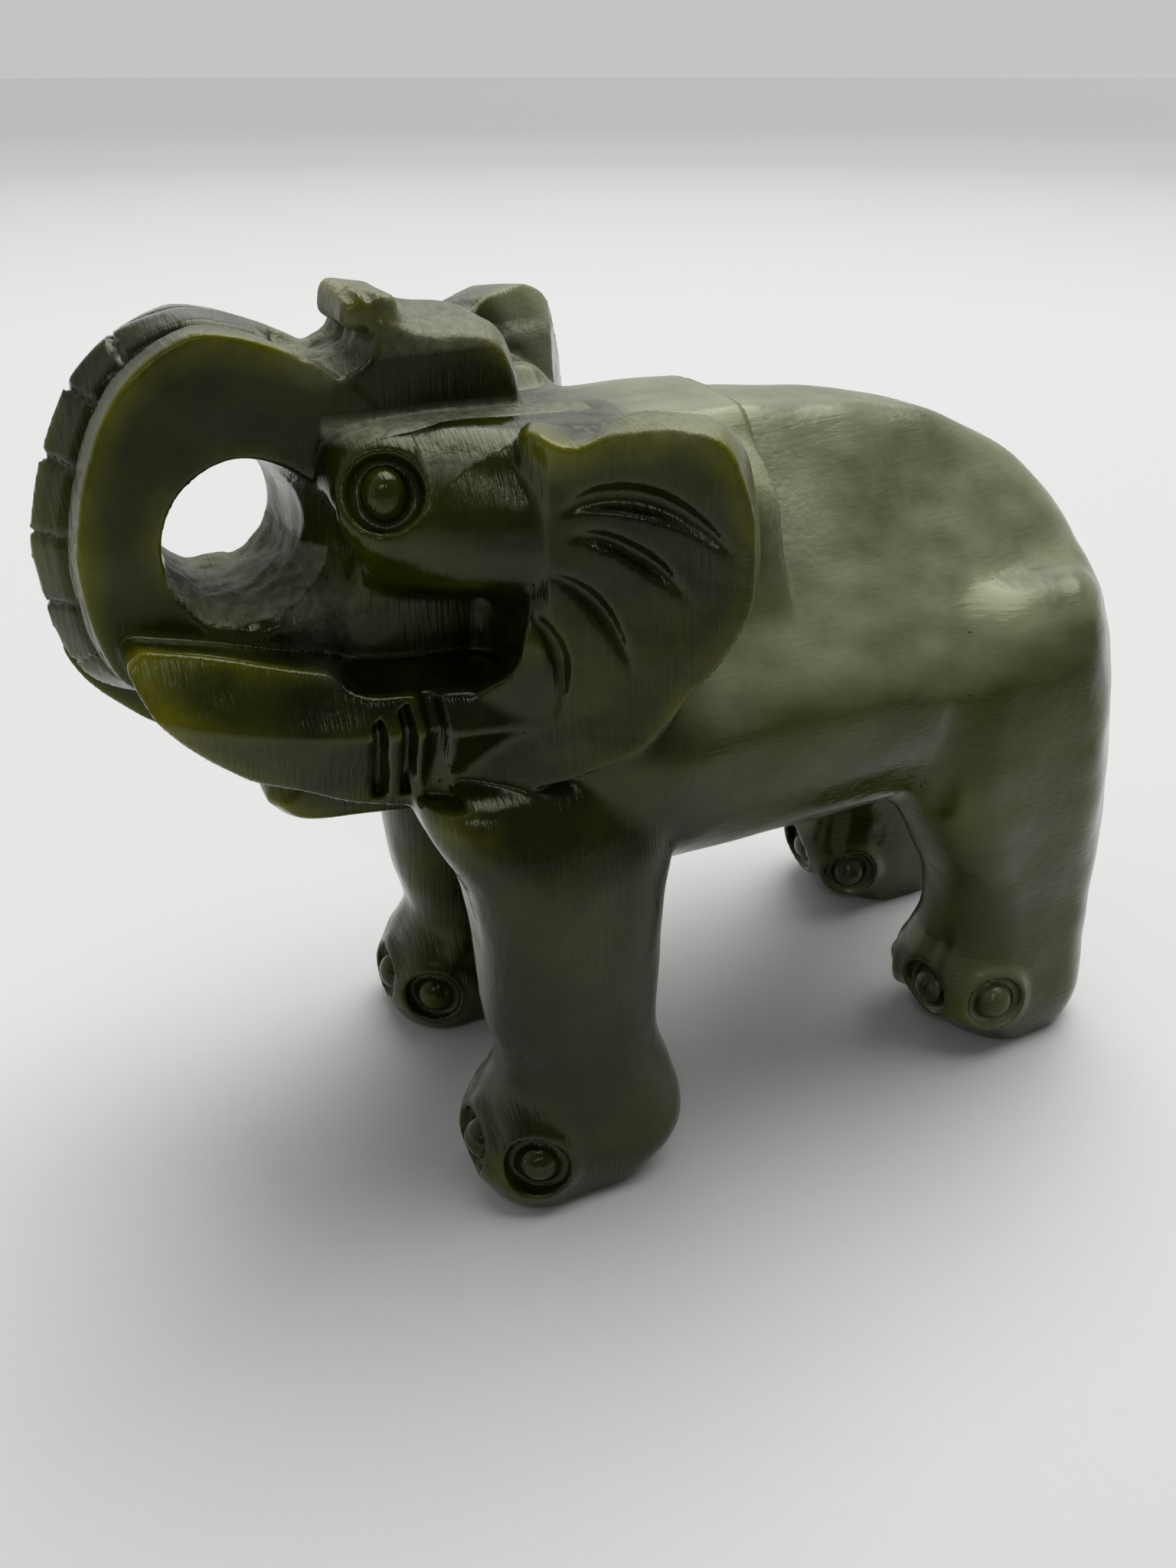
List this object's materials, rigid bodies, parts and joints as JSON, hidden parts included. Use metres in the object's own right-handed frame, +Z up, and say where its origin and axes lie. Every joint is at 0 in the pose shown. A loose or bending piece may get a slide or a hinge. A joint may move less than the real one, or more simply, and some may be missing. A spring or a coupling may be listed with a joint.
{
  "type": "carved jade elephant figurine",
  "caption": "Hand-carved dark green jade elephant standing on four feet, its raised trunk curled back over its forehead into a drilled loop.",
  "frame": {"origin": "middle of the figurine's bounding box, at the level of its soles", "axes": "+X the way the elephant faces, +Y its left side, +Z up"},
  "size_m": [0.0922, 0.0456, 0.0724],
  "materials": {
    "jade": "polished, faintly translucent green nephrite with saw and grinding marks",
    "jade_polished_cores": "high polish, domed cores left by the hollow drill"
  },
  "bodies": {
    "root": {"torso": "jade", "head": "jade", "crown": "jade", "trunk": "jade", "trunk_tip": "jade", "lower_jaw": "jade", "left_ear": "jade", "right_ear": "jade", "left_tusk": "jade", "right_tusk": "jade", "left_eye": "jade_polished_cores", "right_eye": "jade_polished_cores", "front_left_leg": "jade", "front_right_leg": "jade", "hind_left_leg": "jade", "hind_right_leg": "jade", "front_left_toenails": "jade_polished_cores", "front_right_toenails": "jade_polished_cores", "hind_left_toenails": "jade_polished_cores", "hind_right_toenails": "jade_polished_cores", "tail": "jade"}
  },
  "joints": []
}
